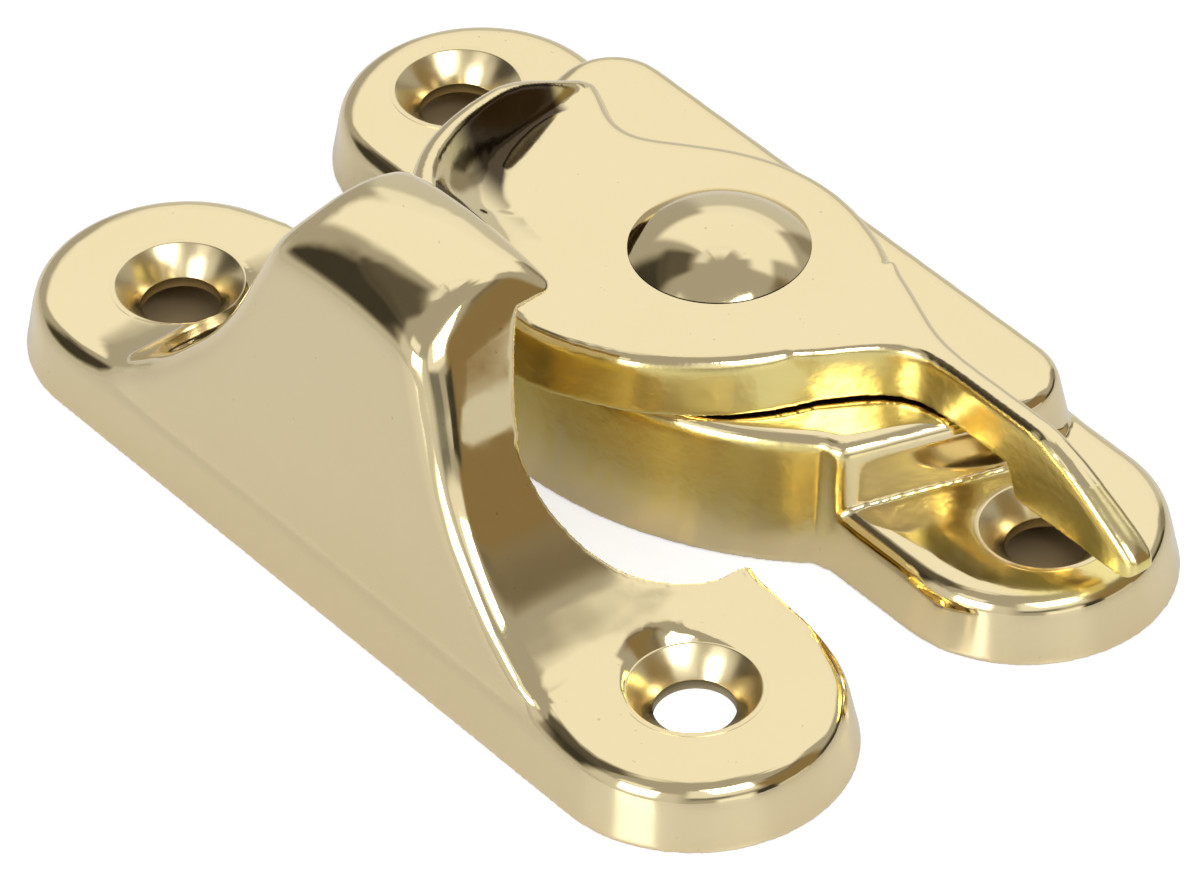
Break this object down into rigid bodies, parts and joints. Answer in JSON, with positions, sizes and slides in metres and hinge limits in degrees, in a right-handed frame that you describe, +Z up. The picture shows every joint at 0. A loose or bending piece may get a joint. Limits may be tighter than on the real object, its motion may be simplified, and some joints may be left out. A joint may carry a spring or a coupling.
{
  "type": "sash lock",
  "caption": "Sash lock in polished brass: hook keeper, and a base with a cam lever on a domed rivet, shown unlocked.",
  "frame": {"origin": "middle of the bounding box's bottom face, on the mounting plane", "axes": "+X along the meeting rail towards the lever's grip, +Y away from the keeper, +Z up off the mounting face"},
  "size_m": [0.0754, 0.0456, 0.0246],
  "materials": {
    "cast_brass": "pale brass, polished all over",
    "rivet_brass": "pale brass, polished dome",
    "washer_steel": "plain bright steel"
  },
  "bodies": {
    "fixed": {"base_casting": "cast_brass", "hook_keeper": "cast_brass", "pivot_rivet": "rivet_brass", "spring_washer": "washer_steel", "tail_washer": "washer_steel"},
    "lever": {"cam_lever": "cast_brass"}
  },
  "joints": [
    {"name": "lever_pivot", "type": "hinge", "parent": "fixed", "child": "lever", "pos_m": [0.00215, 0.0089, 0.011], "axis": [0, 0, 1], "range_deg": [0, 100]}
  ]
}
